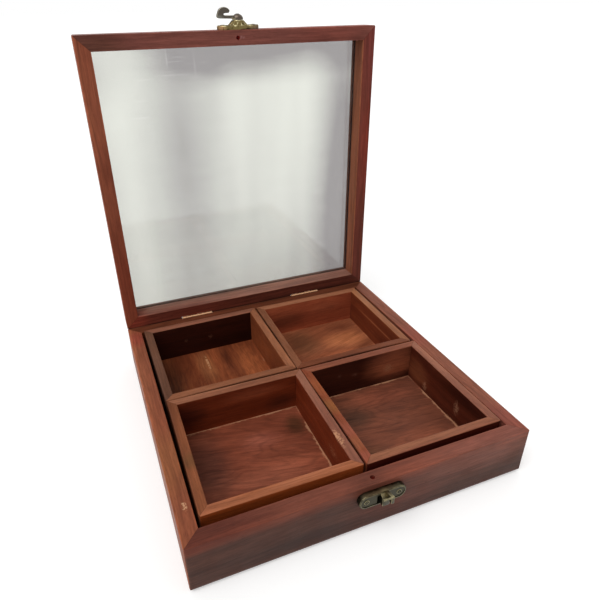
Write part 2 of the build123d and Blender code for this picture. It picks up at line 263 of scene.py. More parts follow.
# Node group: a scuffed place, small pale scratches that thin out from its middle
def makeScuffGroup():
    group, given, result = newGroup(
        "scuffedPlace", {"Centre": zero, "Reach": (0.002, 0.002, 0.002), "Scale": 800.0}, "Mask")
    far = farFrom(group, given)
    specks = noise(group, given["Vector"], given["Scale"], 3.0, 0.6)
    shown = ease(group, calc(group, "SUBTRACT", specks, times(group, far, 0.2)), 0.3, 0.46)
    fill(group, result, {"Mask": times(group, shown, ease(group, far, 0.5, 1.2, 1.0, 0.0))})
    return group


def fromCorners(group, given):
    # A point's distances from the low corner and from the high one
    return (vectorCalc(group, "SUBTRACT", given["Vector"], given["Low"]),
            vectorCalc(group, "SUBTRACT", given["High"], given["Vector"]))


# Node group: how near a point on a board is to one of its long edges
def makeEdgeGroup():
    group, given, result = newGroup("edgeWearAndGlint", {"Low": zero, "High": zero, "Width": 0.001}, "Edge")
    near = axesOf(group, vectorCalc(group, "MINIMUM", *fromCorners(group, given)))
    # On a face one distance is nothing, so the middle one of the three leads to the nearest edge
    smaller = calc(group, "MINIMUM", near[0], near[1])
    larger = calc(group, "MAXIMUM", near[0], near[1])
    middle = calc(group, "MAXIMUM", smaller, calc(group, "MINIMUM", larger, near[2]))
    rough = noise(group, given["Vector"], 170.0, 3.0)
    width = times(group, given["Width"], ease(group, rough, 0.3, 0.75, 0.3, 1.6))
    fill(group, result, {"Edge": fadeOut(group, middle, width)})
    return group


# Node group: the dark glue line of a mitred corner, in a frame of the given half sizes
def makeJointGroup():
    group, given, result = newGroup("mitreLine", {"Half Width": 0.1, "Half Depth": 0.1, "Line": 0.0002}, "Joint")
    place = axesOf(group, vectorCalc(group, "ABSOLUTE", given["Vector"]))
    across = calc(group, "SUBTRACT", place[0], given["Half Width"])
    down = calc(group, "SUBTRACT", place[1], given["Half Depth"])
    off = calc(group, "ABSOLUTE", calc(group, "SUBTRACT", across, down))
    fill(group, result, {"Joint": fadeOut(group, off, given["Line"])})
    return group


# Node group: pale crumbs of dried glue along the foot of a tray's walls, where they meet its floor
def makeGlueGroup():
    group, given, result = newGroup(
        "gluedSeam", {"Low": zero, "High": zero, "Width": 0.0017, "Cover": 0.5}, "Mask")
    low, high = (axesOf(group, vectorCalc(group, "ABSOLUTE", away)) for away in fromCorners(group, given))
    wall = calc(group, "MINIMUM", calc(group, "MINIMUM", high[0], high[1]), low[0])
    seam = calc(group, "MAXIMUM", wall, low[2])
    crumbs = noise(group, given["Vector"], 190.0, 4.0, 0.7)
    gaps = noise(group, given["Vector"], 32.0, 2.0)
    width = times(group, given["Width"], ease(group, crumbs, 0.35, 0.7, 0.25, 1.6))
    mask = ease(group, calc(group, "DIVIDE", seam, width), 0.3, 1.0, 1.0, 0.0)
    there = ease(group, calc(group, "ADD", gaps, calc(group, "SUBTRACT", given["Cover"], 0.5)), 0.44, 0.54)
    fill(group, result, {"Mask": times(group, mask, there)})
    return group


boardGroup, edgeGroup, jointGroup = makeBoardGroup(grainValues), makeEdgeGroup(), makeJointGroup()
patchGroup, scuffGroup, glueGroup = makePatchGroup(), makeScuffGroup(), makeGlueGroup()

# What a board has unless its own values differ, and what all boards share, with rims and edges in millimetres
boardDefaults = {
    "figure": 60.0, "stretch": 0.09, "wander": 0.006, "streaks": 0.5, "rings": 0.25, "contrast": 0.14, "tilt": 0,
    "rubAndGlint": 0.7, "glue": 0.4, "markScale": 800.0, "patches": [], "marks": [],
}
woodValues = {
    "seedSteps": (0.731, 0.377, 0.193), "rimDepths": (0.7, 0.2), "edgeWidth": 0.9, "rubbedAndLit": (1.5, 1.4, 1.3, 1),
    "jointColour": (0.02, 0.006, 0.004, 1), "joint": 0.75, "glueColour": colour(190, 140, 106), "glue": 0.62,
    "bump": (0.35, 0.00012), "specular": 0.08,
}


def dressBoard(nodeName, space, board):
    # A patch or a mark is a centre and a reach in millimetres of the whole object, a tone and a strength
    board = {**boardDefaults, **board}
    wood = woodValues
    material, tree, shader = newMaterial(nodeName + "_wood")
    place = put(tree, "TexCoord").outputs["Object"]
    flat = mapped(tree, place, space["shift"], space["turn"])
    turn = math.radians(board["tilt"]) - (math.pi / 2 if board["grain"] == "y" else 0)
    fibres = mapped(tree, flat, [board["seed"] * step for step in wood["seedSteps"]], (0, 0, turn))
    light, mid, dark = (colour(*tone) for tone in board["tones"])
    grain = {name.title(): board[name] for name in ("figure", "stretch", "wander", "streaks", "rings", "contrast")}
    finish = useGroup(tree, boardGroup, {"Vector": fibres, "Light": light, "Mid": mid, "Dark": dark, **grain})
    body = finish["Color"]
    for centre, reach, tone, strength in board["patches"]:
        mask = spotMask(tree, patchGroup, centre, reach, {"Vector": place, "Fibres": fibres})
        body = coated(tree, body, toned(tree, finish["Color"], tone, mid), mask, strength)
    low, high = space["boards"][nodeName]
    if "rim" in board:
        rim = ease(tree, axesOf(tree, flat)[2], *(high.z - depth * mm for depth in wood["rimDepths"]))
        body = mixColour(tree, rim, body, toned(tree, finish["Color"], board["rim"], mid))
    for centre, reach, tone, strength in board["marks"]:
        mask = spotMask(tree, scuffGroup, centre, reach, {"Vector": place, "Scale": board["markScale"]})
        body = coated(tree, body, colour(*tone), mask, strength)
    # Edges are lightened: real wear, with a painted highlight where a rounded edge catches the light
    edge = useGroup(tree, edgeGroup, {"Vector": flat, "Low": low, "High": high, "Width": wood["edgeWidth"] * mm})
    rubbedAndLit = mixColour(tree, 1.0, body, wood["rubbedAndLit"], "MULTIPLY")
    body = coated(tree, body, rubbedAndLit, edge["Edge"], board["rubAndGlint"])
    if nodeName.endswith(("_wall", "_rail")):
        width, depth = space["half"]
        joint = useGroup(tree, jointGroup, {"Vector": flat, "Half Width": width, "Half Depth": depth})
        body = coated(tree, body, wood["jointColour"], joint["Joint"], wood["joint"])
    if "inside" in space:
        low, high = space["inside"]
        glue = useGroup(tree, glueGroup, {"Vector": flat, "Low": low, "High": high, "Cover": board["glue"]})
        body = coated(tree, body, wood["glueColour"], glue["Mask"], wood["glue"])
    fill(tree, shader, {
        "Base Color": body, "Roughness": finish["Roughness"], "Specular IOR Level": wood["specular"],
        "Normal": bumped(tree, finish["Height"], *wood["bump"]),
    })
    dress(nodes[nodeName], material)


def toned(tree, figured, tone, mid):
    # The board's own figure in another tone: its colour times the ratio of that tone to its middle one
    ratio = [new / old for new, old in zip(colour(*tone)[:3], mid[:3])] + [1.0]
    return mixColour(tree, 1.0, figured, ratio, "MULTIPLY")


def spanOf(points):
    # The lowest and the highest corner of a box round some points
    return [Vector([end(point[axis] for point in points) for axis in range(3)]) for end in (min, max)]


def makeSpace(walls, turn, *floors):
    # The flat space of one mitred frame: X and Y across it, Z through its thickness, centred on its walls
    matrix = Euler(turn).to_matrix()
    low, high = spanOf([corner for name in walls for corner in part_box(name)])
    shift = -(matrix @ ((low + high) / 2))
    boards = {}
    for name in [*walls, *floors]:
        boards[name] = spanOf([matrix @ vertex.co + shift for vertex in nodes[name].data.vertices])
    low, high = spanOf([corner for box in boards.values() for corner in box])
    half = [max(-low[axis], high[axis]) for axis in (0, 1)]
    return {"turn": turn, "shift": shift, "boards": boards, "half": half}


sides = ("front", "back", "left", "right")
trayTurns = {"back_left": 0.3, "back_right": -0.4, "front_left": -0.7, "front_right": -0.1}  # in degrees
baseSpace = makeSpace([f"base_{side}_wall" for side in sides], (0, 0, 0), "base_bottom_panel")
lidSpace = makeSpace([f"lid_{side}_rail" for side in sides], (-math.pi / 2, 0, 0))
traySpaces = {}
for trayName, turn in trayTurns.items():
    trayFloor = f"{trayName}_tray_floor"
    space = makeSpace([f"{trayName}_tray_{side}_wall" for side in sides], (0, 0, -math.radians(turn)), trayFloor)
    # The seam that is glued runs round the floor's upper face
    low, high = space["boards"][trayFloor]
    space["inside"] = [(low.x, low.y, high.z), (high.x, high.y, high.z)]
    traySpaces[trayName] = space

baseBoards = {
    "base_front_wall": {
        "grain": "x", "seed": 3.1, "tones": [(94, 62, 52), (76, 52, 45), (46, 33, 30)],
        "figure": 70.0, "stretch": 0.06, "streaks": 0.35, "rings": 0.12, "contrast": 0.1, "rubAndGlint": 0.3,
        "patches": [
            ((0, -98, 34), (400, 60, 9), (114, 64, 50), 0.95), ((40, -98, 0), (160, 60, 4), (104, 60, 54), 0.7),
            ((-92, -95, 33), (45, 40, 7), (84, 42, 33), 0.85), ((88, -99, 34), (45, 40, 5), (118, 72, 62), 0.75),
            ((-60, -102, 10), (70, 40, 9), (62, 46, 42), 0.6),
            ((88, -102, 9), (24, 40, 3.5), (74, 52, 46), 0.6), ((64, -102, 25), (54, 40, 12), (108, 70, 60), 0.8),
            ((16, -102, 12), (40, 40, 12), (96, 60, 52), 0.6),
            # The first patch on the next line is a painted shadow above and left of the catch plate, where it meets the
            # wood
            ((-3, -102, 31.5), (18, 20, 3.4), (52, 30, 24), 0.5), ((0, -97.4, 28.8), (4, 4, 4.4), (130, 22, 12), 1.0),
        ],
    },
    "base_back_wall": {
        "grain": "x", "seed": 5.4, "tones": [(106, 57, 37), (86, 45, 29), (52, 27, 17)],
        # This patch is painted shade along the wall's top back edge, where the lid's back rail sits on it
        "patches": [((0, 102.2, 33), (400, 1.2, 3), (20, 9, 6), 1.0)],
    },
    "base_left_wall": {
        "grain": "y", "seed": 1.2, "tones": [(152, 88, 60), (130, 72, 50), (84, 42, 30)], "figure": 80.0,
        "stretch": 0.07, "streaks": 0.35,
        "patches": [
            ((-97, 50, 33), (40, 60, 20), (130, 74, 52), 0.7), ((-97, -45, 33), (40, 30, 20), (140, 86, 54), 0.6),
            ((-97, 85, 33), (8, 14, 20), (136, 56, 48), 0.6),
        ],
        "marks": [((-95.8, -77.8, 33), (1.5, 3.4, 2), (206, 160, 122), 0.8)],
    },
    "base_right_wall": {
        "grain": "y", "seed": 7.9, "tones": [(140, 84, 64), (118, 68, 51), (70, 38, 30)],
        "stretch": 0.06, "streaks": 0.4, "patches": [
            ((97, -88, 33), (30, 22, 20), (120, 63, 53), 0.75), ((97, 10, 33), (30, 20, 20), (126, 62, 50), 0.6),
        ],
    },
    "base_bottom_panel": {"grain": "x", "seed": 2.6, "tones": [(140, 92, 66), (118, 76, 54), (80, 50, 36)]},
}
for name, board in baseBoards.items():
    dressBoard(name, baseSpace, board)

lidBoards = {
    "lid_front_rail": {
        "grain": "x", "seed": 11.3, "tones": [(134, 78, 68), (115, 66, 57), (76, 40, 35)],
        "patches": [
            ((-90, 102, 230), (26, 30, 12), (82, 50, 38), 0.7), ((70, 102, 232), (40, 30, 20), (112, 58, 48), 0.7),
            # This patch is painted light inside the peg hole, a bright red laid over its shaded hollow
            ((-0.4, 106.5, 232.2), (4, 4.6, 4), (240, 112, 104), 1.0),
            # This patch is painted shadow on the lid's face round the clasp plate, where it meets the wood
            ((1.8, 107.4, 236.6), (19, 8, 3), (44, 26, 20), 0.7),
        ],
        "marks": [((2.6, 102, 232.2), (2.2, 2, 1.2), (150, 104, 100), 0.6)],
    },
    "lid_back_rail": {
        "grain": "x", "seed": 12.8, "tones": [(98, 48, 36), (80, 37, 27), (46, 20, 15)],
        "patches": [
            ((0, 110, 42.1), (400, 60, 1.1), (146, 102, 86), 0.95), ((-60, 102, 36), (60, 9, 20), (104, 46, 34), 0.6),
            # The first patch on the next line is painted shade along the rail's foot, where the lid meets the base
            ((0, 102, 32.2), (400, 6, 2), (22, 9, 6), 1.0), ((-95, 106, 39), (14, 20, 9), (132, 54, 40), 0.7),
        ],
    },
    "lid_left_rail": {
        "grain": "y", "seed": 14.1, "tones": [(146, 80, 56), (128, 67, 47), (86, 42, 30)],
        "streaks": 0.3, "patches": [
            ((-97, 102, 70), (30, 30, 60), (114, 50, 34), 0.7), ((-97, 102, 200), (30, 30, 40), (150, 84, 60), 0.7),
        ],
    },
    "lid_right_rail": {
        "grain": "y", "seed": 15.6, "tones": [(118, 58, 46), (98, 46, 35), (58, 25, 18)],
        "patches": [
            ((101, 102, 225), (9, 20, 50), (112, 52, 46), 0.8), ((101, 102, 150), (9, 9, 45), (120, 46, 34), 0.7),
            ((92, 112, 130), (1.0, 30, 400), (140, 84, 58), 1.0),
            ((92.2, 113.8, 130), (2, 0.9, 400), (62, 34, 20), 0.9),
        ],
    },
}
lidWood = {"stretch": 0.05}
for name, board in lidBoards.items():
    dressBoard(name, lidSpace, {**lidWood, **board})

# Tones that several of the trays' boards share. A rim is the tone of a wall's top edge, where it differs, and
# the dark patches on outer faces are painted shade in the gaps between the trays
tan = [(138, 86, 60), (116, 70, 47), (78, 46, 31)]
amber = [(136, 72, 42), (112, 57, 33), (66, 32, 19)]
# darkWoodAndShade is the wood's own dark tone with painted shade of the deep tray's inside in it
darkWoodAndShade = [(50, 18, 9), (36, 12, 6), (20, 7, 4)]
rose = (126, 77, 53)
gapShade = (28, 12, 7)
trayBoards = {
    "back_left": {
        "front": {"tones": tan, "patches": [((-45, 4, 26), (60, 0.9, 16), gapShade, 0.9)]},
        "left": {"tones": [(102, 67, 50), (86, 55, 41), (58, 35, 26)]},
        "back": {"tones": darkWoodAndShade, "rim": (106, 68, 54), "marks": [
            ((-40.9, 86.8, 19.8), (2.2, 3, 2.2), (96, 62, 50), 0.5),
            ((-60.2, 86.8, 21), (1.8, 3, 1.8), (90, 56, 44), 0.4)]},
        "right": {"tones": amber, "rim": rose, "patches": [((-6, 20, 16), (20, 30, 12), (82, 36, 22), 0.8)]},
        "floor": {
            "grain": "y", "tones": [(134, 70, 41), (103, 50, 29), (55, 26, 16)], "figure": 75.0, "stretch": 0.2,
            "streaks": 0.3, "rings": 0.15, "patches": [
                ((-80, 55, 8), (16, 40, 20), (70, 36, 23), 0.8), ((-50, 65, 8), (8, 26, 20), (140, 84, 52), 0.7),
                ((-20, 55, 8), (14, 34, 20), (130, 68, 40), 0.7), ((-34, 70, 8), (5, 30, 20), (84, 40, 24), 0.7)],
            "marks": [((-48.5, 70, 8), (1.2, 12, 3), (204, 150, 108), 0.6)],
        },
    },
    "back_right": {
        "front": {"tones": [(118, 66, 43), (99, 52, 34), (64, 33, 22)], "patches": [
            ((45, 2.8, 26), (60, 0.9, 16), gapShade, 0.9)]},
        "left": {"tones": tan, "patches": [((-0.4, 47, 26), (1.0, 60, 16), gapShade, 0.9)]},
        "back": {"tones": [(162, 82, 54), (132, 62, 40), (80, 37, 24)], "rim": (122, 73, 51), "patches": [
            ((25, 86, 20), (20, 20, 8), (88, 42, 28), 0.6), ((60, 86, 25), (18, 20, 6), (130, 66, 44), 0.6)]},
        "right": {"tones": [(122, 58, 34), (100, 44, 26), (60, 25, 14)], "rim": rose, "patches": [
            ((84, 44, 25), (3, 40, 1.1), (150, 84, 56), 0.6), ((84, 20, 16), (3, 26, 9), (78, 34, 22), 0.6)]},
        "floor": {
            "grain": "x", "tones": [(148, 86, 58), (126, 70, 46), (78, 42, 28)], "figure": 55.0, "stretch": 0.3,
            "streaks": 0.15, "rings": 0.1, "tilt": -18, "patches": [
                ((64, 58, 8), (24, 15, 20), (164, 96, 60), 0.75), ((30, 66, 8), (18, 24, 20), (96, 58, 38), 0.8),
                ((48, 40, 8), (26, 8, 20), (150, 80, 50), 0.6), ((70, 76, 8), (18, 5, 20), (104, 54, 35), 0.7)],
        },
    },
    "front_left": {
        "front": {"tones": [(150, 72, 34), (122, 54, 21), (76, 28, 10)], "rim": (144, 84, 54), "contrast": 0.16},
        "left": {"tones": [(128, 74, 47), (106, 59, 37), (70, 38, 24)], "patches": [
            ((-86, -51, 34), (8, 8, 20), (84, 54, 32), 0.7)]},
        "back": {"tones": [(122, 52, 27), (96, 37, 18), (54, 21, 11)], "rim": (130, 80, 58), "patches": [
            ((-78, -4.5, 22), (16, 20, 14), (58, 20, 11), 0.85), ((-35, -4.5, 28), (24, 20, 6), (112, 52, 32), 0.7),
            ((-16, -4.5, 14), (14, 20, 10), (64, 26, 16), 0.7)]},
        "right": {"tones": [(126, 54, 28), (104, 39, 19), (60, 21, 11)], "rim": (126, 76, 60), "marks": [
            ((-4.6, -66, 34.6), (3, 9, 2), (204, 150, 112), 0.6), ((-7, -62, 20), (3, 8, 5), (176, 116, 84), 0.4)]},
        "floor": {
            "grain": "x", "tones": [(142, 76, 54), (118, 60, 42), (68, 34, 24)], "figure": 50.0, "stretch": 0.3,
            "streaks": 0.3, "tilt": 12, "glue": 0.62, "patches": [
                ((-76, -34, 8), (20, 38, 20), (82, 46, 36), 0.75), ((-12, -20, 8), (9, 12, 20), (66, 40, 24), 0.8),
                ((-38, -25, 8), (16, 10, 20), (132, 72, 56), 0.7), ((-45, -58, 8), (30, 14, 20), (124, 68, 50), 0.6),
                ((-66, -74, 8), (20, 10, 20), (80, 44, 36), 0.7)],
        },
    },
    "front_right": {
        "front": {"tones": [(66, 20, 10), (52, 12, 6), (30, 5, 3)], "rim": (118, 68, 52)},
        "left": {"tones": [(142, 74, 49), (120, 60, 38), (72, 36, 23)], "patches": [
            ((6, -19, 34), (10, 14, 20), (142, 78, 44), 0.5), ((4, -40, 34), (10, 10, 20), (130, 82, 44), 0.6),
            ((3, -62, 34), (10, 9, 20), (136, 74, 56), 0.6), ((3, -74, 34), (10, 7, 20), (134, 82, 54), 0.4),
            ((4, -84, 34), (10, 5, 20), (132, 70, 54), 0.6), ((1, -45, 26), (0.6, 70, 16), gapShade, 1.0)]},
        "back": {"tones": [(62, 26, 16), (48, 18, 11), (26, 9, 6)], "rim": (122, 70, 52), "patches": [
            ((72, -5.3, 24), (28, 20, 18), (132, 70, 48), 0.9)], "markScale": 1600.0, "marks": [
            ((67, -5.3, 20), (6, 3, 5), (176, 124, 92), 0.45), ((40, -5.3, 22), (3, 3, 2), (140, 100, 84), 0.25),
            ((28, -5.3, 24), (2.4, 3, 2), (140, 100, 84), 0.2)]},
        "right": {"tones": [(96, 42, 26), (72, 28, 17), (38, 14, 9)], "rim": (124, 76, 60), "patches": [
            ((84, -62, 30), (20, 34, 9), (46, 14, 7), 0.9), ((84, -14, 18), (20, 16, 14), (104, 54, 34), 0.8)],
            "marks": [((84.2, -58, 20), (3, 3.2, 7), (186, 134, 104), 0.4),
                      ((84.2, -24, 13), (3, 3, 5), (186, 134, 104), 0.4)]},
        "floor": {
            "grain": "x", "tones": [(122, 69, 50), (102, 58, 43), (64, 38, 29)], "stretch": 0.25,
            "streaks": 0.35, "contrast": 0.1, "tilt": 6, "glue": 0.6, "patches": [
                ((55, -17, 8), (28, 14, 20), (116, 62, 46), 0.5), ((27, -30, 8), (18, 14, 20), (66, 44, 34), 0.8),
                ((60, -60, 8), (26, 18, 20), (118, 66, 48), 0.6), ((20, -66, 8), (16, 16, 20), (86, 56, 40), 0.7)],
        },
    },
}
# What the trays' walls share and what their floors do, and the steps between the boards' seeds
trayWallWood = {"streaks": 0.25, "rings": 0.1, "contrast": 0.08, "rubAndGlint": 0.25}
trayFloorWood = {"wander": 0.009}
traySeeds = {"first": 20.0, "tray": 6.3, "side": 1.1}
for index, (trayName, boards) in enumerate(trayBoards.items()):
    for step, (side, board) in enumerate(boards.items()):
        kind, plain = ("floor", trayFloorWood) if side == "floor" else (side + "_wall", trayWallWood)
        seed = traySeeds["first"] + traySeeds["tray"] * index + traySeeds["side"] * step
        grain = "x" if side in ("front", "back") else "y"
        dressBoard(f"{trayName}_tray_{kind}", traySpaces[trayName], {"grain": grain, "seed": seed, **plain, **board})
print("boards dressed")


# Glass pane: a worn, milky sheet, clearer in some places than in others, with a painted shadow of the top rail
# along its top edge. Each cloud is a centre and a reach in millimetres, across and up, and a strength
paneValues = {
    "tint": colour(227, 229, 221), "cloud": colour(155, 152, 152), "transmission": 0.92, "roughness": (0.02, 0.1),
    "haze": 0.2, "scratches": 0.16, "paneY": 115, "cloudEdge": {"Rough": 0.15, "Core": -0.2},
    "cloudsAndShade": [
        # The second cloud, along the top edge, is partly the milky glass and partly a painted shadow of the lid's top
        # rail
        ((-41, 165), (41, 170), 0.8), ((24, 234), (115, 34), 1.7), ((-14, 212), (50, 16), 0.35),
        ((10, 20), (170, 170), 0.5), ((84, 130), (32, 240), 1.1), ((-96, 215), (30, 30), 0.35),
    ],
}


def dressPane(values):
    material, tree, shader = newMaterial("pane_glass")
    place = put(tree, "TexCoord").outputs["Object"]
    cloudyAndShaded = ease(tree, drawnNoise(tree, place, (20.0, 1.0, 4.0), 2.0), 0.35, 0.7, 0.0, values["haze"])
    spot = {"Vector": place, "Fibres": place, **values["cloudEdge"]}
    for (across, up), (width, height), strength in values["cloudsAndShade"]:
        mask = spotMask(tree, patchGroup, (across, values["paneY"], up), (width, 1000, height), spot)
        cloudyAndShaded = calc(tree, "ADD", cloudyAndShaded, times(tree, mask, strength), clamp=True)
    body = mixColour(tree, cloudyAndShaded, values["tint"], values["cloud"])
    # Fine scratches up and across, in some places only
    where = ease(tree, drawnNoise(tree, place, (22.0, 1.0, 22.0), 1.0), 0.5, 0.6)
    for run in ((900.0, 1.0, 34.0), (40.0, 1.0, 900.0)):
        scratch = ease(tree, drawnNoise(tree, place, run, 1.0), 0.68, 0.74)
        body = coated(tree, body, (1, 1, 1, 1), times(tree, scratch, where), values["scratches"])
    smears = noise(tree, place, 45.0, 4.0, 0.6)
    fill(tree, shader, {
        "Base Color": body, "Roughness": ease(tree, smears, 0.3, 0.7, *values["roughness"]),
        "Transmission Weight": values["transmission"],
    })
    dress(nodes["lid_glass"], material)


dressPane(paneValues)


# Metals: the tones of each are its body's, a bright one where edges are rubbed, which also paints their
# highlights, and a dark one in its corners
metalValues = {
    "hinge": {"tones": [(204, 158, 120), (240, 206, 168), (110, 72, 46)], "roughness": (0.22, 0.4), "relief": 0.6},
    "clasp": {
        "tones": [(112, 98, 62), (250, 240, 190), (44, 30, 18)], "roughness": (0.22, 0.4), "mottle": (430.0, 1.0),
        "patches": [
            ((-10.5, 107.4, 237.8), (4.4, 9, 2.2), (190, 146, 106), 0.6),
            ((13, 107.4, 238), (6, 9, 4), (118, 96, 82), 0.6), ((-4.4, 107.4, 240.6), (2.6, 6, 2.8), (62, 48, 36), 0.7),
            ((-9.4, 107.4, 239.8), (7, 9, 1.1), (52, 42, 30), 0.9),
            ((13.4, 107.4, 239.8), (7, 9, 1.1), (56, 48, 36), 0.9),
            ((1.8, 107.4, 242.3), (6, 7, 0.8), (72, 62, 36), 0.8),
            ((-12.7, 107.4, 238), (1.2, 9, 4), (50, 40, 28), 0.8)],
    },
    "hook": {"tones": [(82, 76, 69), (196, 186, 160), (40, 34, 30)], "roughness": (0.24, 0.42), "patches": [
        ((1.8, 107.4, 244), (4.6, 6, 3.2), (92, 78, 66), 0.7),
        # The next patch is a painted highlight, a creamy reflection low on the cap's left where the arm meets it
        ((-2.0, 105.2, 242.4), (2.4, 3, 1.5), (190, 178, 140), 0.7),
        # The next patch is painted light on the claw's lower left, the shading of the tilted claw laid into its colour
        ((-11.4, 107, 243.2), (4.4, 5, 2.6), (126, 126, 116), 0.7)]},
    "catch": {
        "tones": [(64, 61, 48), (138, 129, 98), (26, 21, 15)], "roughness": (0.28, 0.46), "mottle": (430.0, 0.6),
        "patches": [((0, -104, 30), (16, 6, 2.4), (72, 54, 36), 0.7),
                    # The next patch is painted light in the shaded hollow under the catch's finger
                    ((3.2, -105.5, 27.6), (3.4, 3.4, 3.2), (118, 106, 76), 0.7)],
    },
    "rivet": {"tones": [(78, 70, 60), (120, 108, 90), (40, 34, 28)], "roughness": (0.3, 0.44), "relief": 0.5},
}


def makeMetal(name, values):
    material, tree, shader = newMaterial(name + "_brass")
    place = put(tree, "TexCoord").outputs["Object"]
    # Wear comes from a colour attribute: grey on flat metal, pale on outer edges, which also paints their
    # highlights, dark in corners. The hinges and the rivet's head have one relief all over instead
    relief = values.get("relief") or put(tree, "Attribute", attribute_name="wear_and_glint").outputs["Fac"]
    scale, amount = values.get("mottle", (260.0, 0.3))
    cloud = noise(tree, place, scale, 4.0, 0.6)
    relief = calc(tree, "ADD", relief, offMiddle(tree, cloud, amount))
    plain, bright, grime = (colour(*tone) for tone in values["tones"])
    rubbedAndLit = mixColour(tree, ease(tree, relief, 0.6, 0.92), plain, bright)
    body = mixColour(tree, ease(tree, relief, 0.18, 0.46, 1.0, 0.0), rubbedAndLit, grime)
    for centre, reach, tone, strength in values.get("patches", []):
        mask = spotMask(tree, patchGroup, centre, reach, {"Vector": place, "Fibres": place})
        body = coated(tree, body, colour(*tone), mask, strength)
    fill(tree, shader, {
        "Base Color": body, "Roughness": ease(tree, cloud, 0.3, 0.7, *values["roughness"]), "Metallic": 1.0,
        "Normal": bumped(tree, noise(tree, place, 1500.0, 3.0), 0.3, 0.00006),
    })
    return material


metals = {name: makeMetal(name, values) for name, values in metalValues.items()}
for name, node in nodes.items():
    if "hinge" in name:
        dress(node, metals["hinge"])
print("metals dressed")


# Modelling helpers. The clasp's parts are shaped on the bench in millimetres, face up, then put in place, and
# what lies within this distance of a level or a line is on it
closeBy = 0.01


def pick(piece, kind, test):
    # In edit mode, selects the vertices, edges or faces whose middle passes the test
    bpy.ops.mesh.select_mode(type=kind)
    bpy.ops.mesh.select_all(action="DESELECT")
    mesh = bmesh.from_edit_mesh(piece.data)
    items, middleOf = {
        "VERT": (mesh.verts, lambda item: item.co),
        "EDGE": (mesh.edges, lambda item: (item.verts[0].co + item.verts[1].co) / 2),
        "FACE": (mesh.faces, lambda item: item.calc_center_median()),
    }[kind]
    for item in items:
        item.select_set(test(middleOf(item)))
    mesh.select_flush(kind == "VERT")
    bmesh.update_edit_mesh(piece.data)


def startPiece(name, startWith, **settings):
    bpy.ops.object.select_all(action="DESELECT")
    startWith(**settings)
    piece = bpy.context.object
    piece.name = piece.data.name = name
    bpy.ops.object.transform_apply(location=True, rotation=True, scale=True)
    bpy.ops.object.mode_set(mode="EDIT")
    bpy.ops.mesh.select_mode(type="VERT")
    bpy.ops.mesh.select_all(action="SELECT")
    return piece


def raiseRings(rings, centre=(0, 0)):
    # Extrudes the selected ring through (half width, half height, level), the first being where it is
    for before, after in zip(rings, rings[1:]):
        bpy.ops.mesh.extrude_region_move(TRANSFORM_OT_translate={"value": (0, 0, after[2] - before[2])})
        size = (after[0] / before[0], after[1] / before[1], 1)
        bpy.ops.transform.resize(value=size, center_override=(*centre, after[2]))


def roundPiece(name, rings, vertices, fillType, centre=(0, 0)):
    # A round piece through rings of (radius, level)
    radius, level = rings[0]
    piece = startPiece(name, bpy.ops.mesh.primitive_circle_add, vertices=vertices, radius=radius,
                       location=(*centre, level), fill_type=fillType)
    raiseRings([(radius, radius, level) for radius, level in rings], centre)
    return piece


def applyModifier(piece, name, kind, **settings):
    modifier = piece.modifiers.new(name, kind)
    for key, value in settings.items():
        setattr(modifier, key, value)
    bpy.ops.object.modifier_apply(modifier=modifier.name)


def only(piece):
    bpy.ops.object.select_all(action="DESELECT")
    piece.select_set(True)
    bpy.context.view_layer.objects.active = piece


def tidyShell():
    # Leaves edit mode with doubles merged and faces pointing outwards
    bpy.ops.mesh.select_all(action="SELECT")
    bpy.ops.mesh.remove_doubles(threshold=closeBy / 10)
    bpy.ops.mesh.normals_make_consistent(inside=False)
    bpy.ops.object.mode_set(mode="OBJECT")


def joinPieces(piece, *others):
    only(piece)
    for other in others:
        other.select_set(True)
    bpy.ops.object.join()


# Wear on an edge or in a corner, and the painted highlight on an edge: the share on flat metal, how fast it
# changes, and a dark foot in millimetres
wearAndGlintValues = {"flat": 0.5, "gain": 0.4, "foot": 0.1, "footShare": 0.2}


def markWearAndGlint(piece, values):
    # Writes on every vertex how far it bulges, per millimetre: over a half on an outer edge, under it in a corner
    layer = piece.data.color_attributes.new("wear_and_glint", "FLOAT_COLOR", "POINT")
    mesh = bmesh.new()
    mesh.from_mesh(piece.data)
    mesh.normal_update()
    foot = min(vertex.co.z for vertex in mesh.verts) + values["foot"]
    for vertex, item in zip(mesh.verts, layer.data):
        steps = [edge.other_vert(vertex).co - vertex.co for edge in vertex.link_edges]
        dip = sum(step.normalized().dot(vertex.normal) / step.length for step in steps) / len(steps)
        share = min(max(values["flat"] - values["gain"] * dip, 0.0), 1.0)
        share = values["footShare"] if vertex.co.z < foot else share
        item.color = (share, share, share, 1.0)
    mesh.free()


# Where the clasp's two halves lie: on the lid's front face, which is on top while it stands open, and on the
# base. A seat is a place, a turn, the body, the slot and the metal
lidSeat = ((0.0018, 0.10735, 0.23661), (0, 0, 0), "lid", "clasp_brass", "clasp")
hookSeat = (*lidSeat[:2], "hook", "hook_brass", "hook")
rivetSeat = (*lidSeat[:4], "rivet")
catchSeat = ((0.0026, -0.102, 0.02495), (math.pi / 2, 0, 0), "base", "catch_brass", "catch")
smoothDegrees = 40


def settle(piece, seat, stands):
    # Takes a finished piece from the bench to its place on the box
    spot, turn, body, slot, metal = seat
    only(piece)
    markWearAndGlint(piece, wearAndGlintValues)
    piece.scale, piece.rotation_euler, piece.location = (mm, mm, mm), turn, spot
    bpy.ops.object.transform_apply(location=True, rotation=True, scale=True)
    bpy.ops.object.shade_smooth_by_angle(angle=math.radians(smoothDegrees))
    dress(piece, metals[metal])
    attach(piece, body)
    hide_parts(*stands)


